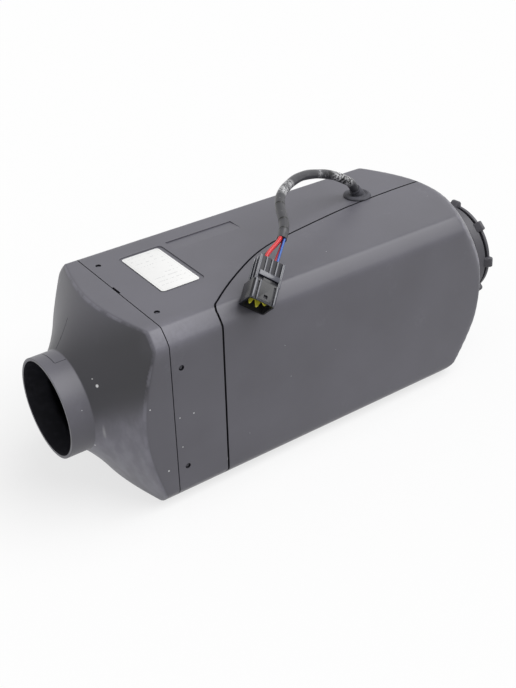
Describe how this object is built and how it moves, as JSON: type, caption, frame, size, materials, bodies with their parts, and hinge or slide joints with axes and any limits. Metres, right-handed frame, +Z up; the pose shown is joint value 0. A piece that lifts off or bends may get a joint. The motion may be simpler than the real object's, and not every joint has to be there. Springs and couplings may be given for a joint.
{
  "type": "diesel air heater",
  "caption": "Fuel-burning air heater for vehicles: box-shaped casing with flared outlet collar, domed inlet with grille, finned exchanger and fan inside, mounting foot and wiring harness.",
  "frame": {"origin": "on the resting face, straight below the axis of the air path, at the middle of the casing's length", "axes": "+X along the air path from the hot-air outlet to the cold-air inlet, +Y out of the mounting foot, +Z up as the heater lies on its side"},
  "size_m": [0.3971, 0.19, 0.185],
  "materials": {
    "casing_plastic": "fine-grained satin charcoal moulding",
    "black_plastic": "satin black moulding",
    "label_film": "blank white label film",
    "rubber": "matt black rubber",
    "cast_aluminium": "as cast, matt",
    "burner_steel": "heat-tinted sheet",
    "gasket_board": "dark fibre gasket sheet",
    "steel": "zinc plated",
    "sensor_brass": "bright",
    "armature_steel": "laminated core with enamelled windings",
    "white_nylon": "natural nylon",
    "lead_black": "insulated lead",
    "sleeve_vinyl": "satin grey-black vinyl sleeve",
    "wire_red": "insulated lead",
    "wire_blue": "insulated lead",
    "connector_black": "glossy black moulding",
    "lock_yellow": "yellow-green moulding",
    "terminal_tin": "tin plated"
  },
  "bodies": {
    "casing": {"lower_shell": "casing_plastic", "service_cover": "casing_plastic", "outlet_hood": "casing_plastic", "intake_ring": "black_plastic", "inlet_grille": "casing_plastic", "label_plate": "label_film", "harness_grommet": "rubber", "blanking_plug": "rubber", "heat_exchanger": "cast_aluminium", "burner_tube": "burner_steel", "burner_gasket": "gasket_board", "glow_plug": "steel", "temperature_sensor": "sensor_brass", "sensor_clip": "steel", "exchanger_screw_1": "steel", "exchanger_screw_2": "steel", "exchanger_screw_3": "steel", "exchanger_screw_4": "steel", "blower_housing": "cast_aluminium", "blower_cover": "cast_aluminium", "motor_can": "steel", "motor_bearing_front": "steel", "motor_bearing_rear": "steel", "control_unit": "black_plastic", "control_unit_plug": "white_nylon", "mounting_foot": "cast_aluminium", "foot_gasket": "rubber", "exhaust_stub": "steel", "combustion_air_stub": "cast_aluminium", "fuel_pipe": "steel", "mounting_stud_1": "steel", "mounting_stud_2": "steel", "mounting_stud_3": "steel", "mounting_stud_4": "steel", "stud_nut_1": "steel", "stud_nut_2": "steel", "stud_nut_3": "steel", "stud_nut_4": "steel", "inner_harness": "lead_black", "sensor_lead": "lead_black", "glow_plug_lead": "lead_black", "motor_lead": "lead_black", "harness_sleeve": "sleeve_vinyl", "wire_positive": "wire_red", "wire_signal": "wire_blue", "wire_negative": "lead_black", "wire_sensor": "wire_red", "connector_housing": "connector_black", "wedge_lock": "lock_yellow", "connector_terminal_1": "terminal_tin", "connector_terminal_2": "terminal_tin", "connector_terminal_3": "terminal_tin", "connector_terminal_4": "terminal_tin"},
    "rotor": {"combustion_impeller": "black_plastic", "motor_armature": "armature_steel", "motor_shaft": "steel", "air_impeller": "black_plastic", "impeller_clip": "steel"}
  },
  "joints": [
    {"name": "rotor_spin", "type": "hinge", "parent": "casing", "child": "rotor", "pos_m": [0.142, 0, 0.072], "axis": [1, 0, 0], "continuous": true}
  ]
}
